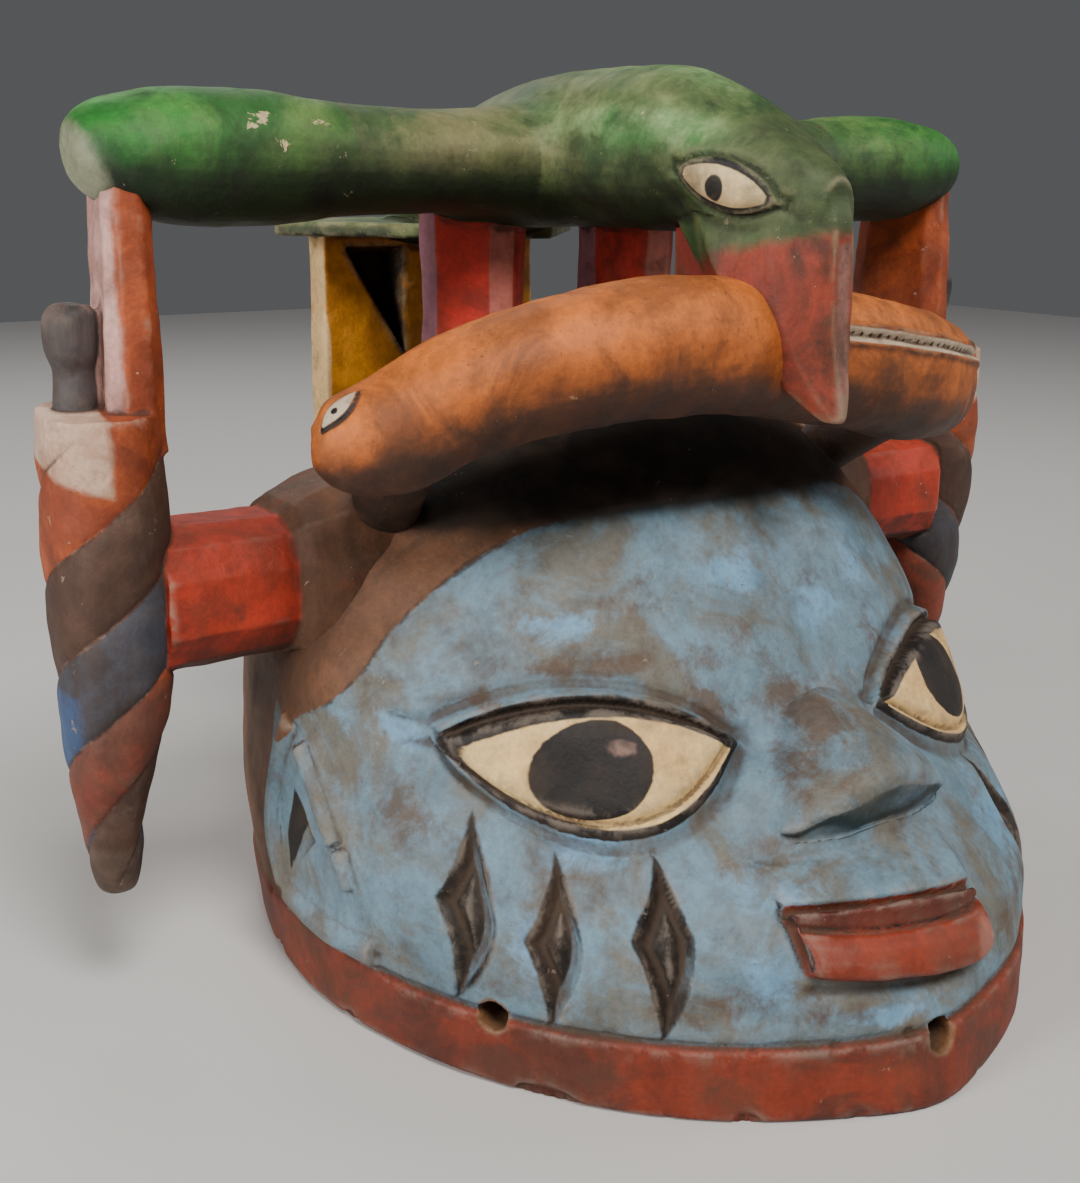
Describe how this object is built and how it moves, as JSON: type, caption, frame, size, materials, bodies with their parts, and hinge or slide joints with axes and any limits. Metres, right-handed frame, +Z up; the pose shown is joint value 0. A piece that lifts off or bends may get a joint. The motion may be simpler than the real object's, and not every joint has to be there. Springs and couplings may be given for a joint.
{
  "type": "gelede helmet mask",
  "caption": "Carved and painted wooden helmet mask: a hollow human head with a snake across the brow, a bird with spread wings above it and sheathed knives hanging from the wing tips.",
  "frame": {"origin": "middle of the bounding box at the level of the rim the mask stands on", "axes": "+Z up, face towards -Y, wings along X"},
  "size_m": [0.3521, 0.2843, 0.261],
  "materials": {
    "painted_wood": "worn hand-painted wood"
  },
  "bodies": {
    "root": {"gelede_mask": "painted_wood"}
  },
  "joints": []
}
